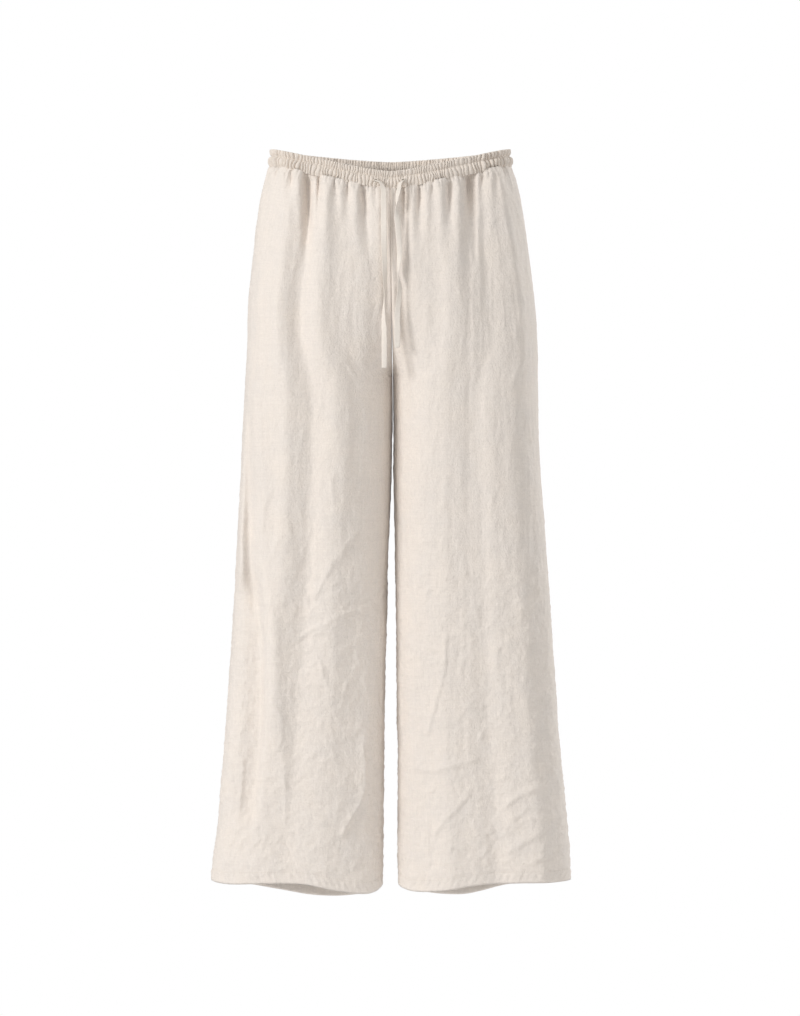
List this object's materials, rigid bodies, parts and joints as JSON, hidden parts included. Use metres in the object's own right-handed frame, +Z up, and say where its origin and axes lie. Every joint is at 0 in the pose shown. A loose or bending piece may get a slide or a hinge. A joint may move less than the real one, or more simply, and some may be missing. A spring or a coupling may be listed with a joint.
{
  "type": "linen drawstring trousers",
  "caption": "Wide-leg natural linen trousers with a gathered elastic waist, a flat drawstring with free ends, stitched eyelets and turned hems, hollow as if worn.",
  "frame": {"origin": "centre of the waist opening, level with the waistband's top edge at the side seams, where the wearer's waist holds the trousers up", "axes": "+Z up along the legs, out of the waist opening; -Y is the front; +X is the wearer's left"},
  "size_m": [0.5123, 0.2124, 1.0683],
  "materials": {
    "linen": "plain-weave natural ecru linen, matte, with slubs and soft creases",
    "waistband": "the same linen, gathered on elastic into fine uneven tucks",
    "drawstring": "the same linen, folded and stitched into a flat tape",
    "thread": "cotton sewing thread, closely worked around a small hole"
  },
  "bodies": {
    "root": {"front_left": "linen", "front_right": "linen", "back_left": "linen", "back_right": "linen", "waistband_front": "waistband", "waistband_back": "waistband", "eyelet_left": "thread", "eyelet_right": "thread", "drawstring_left": "drawstring", "drawstring_right": "drawstring"}
  },
  "joints": []
}
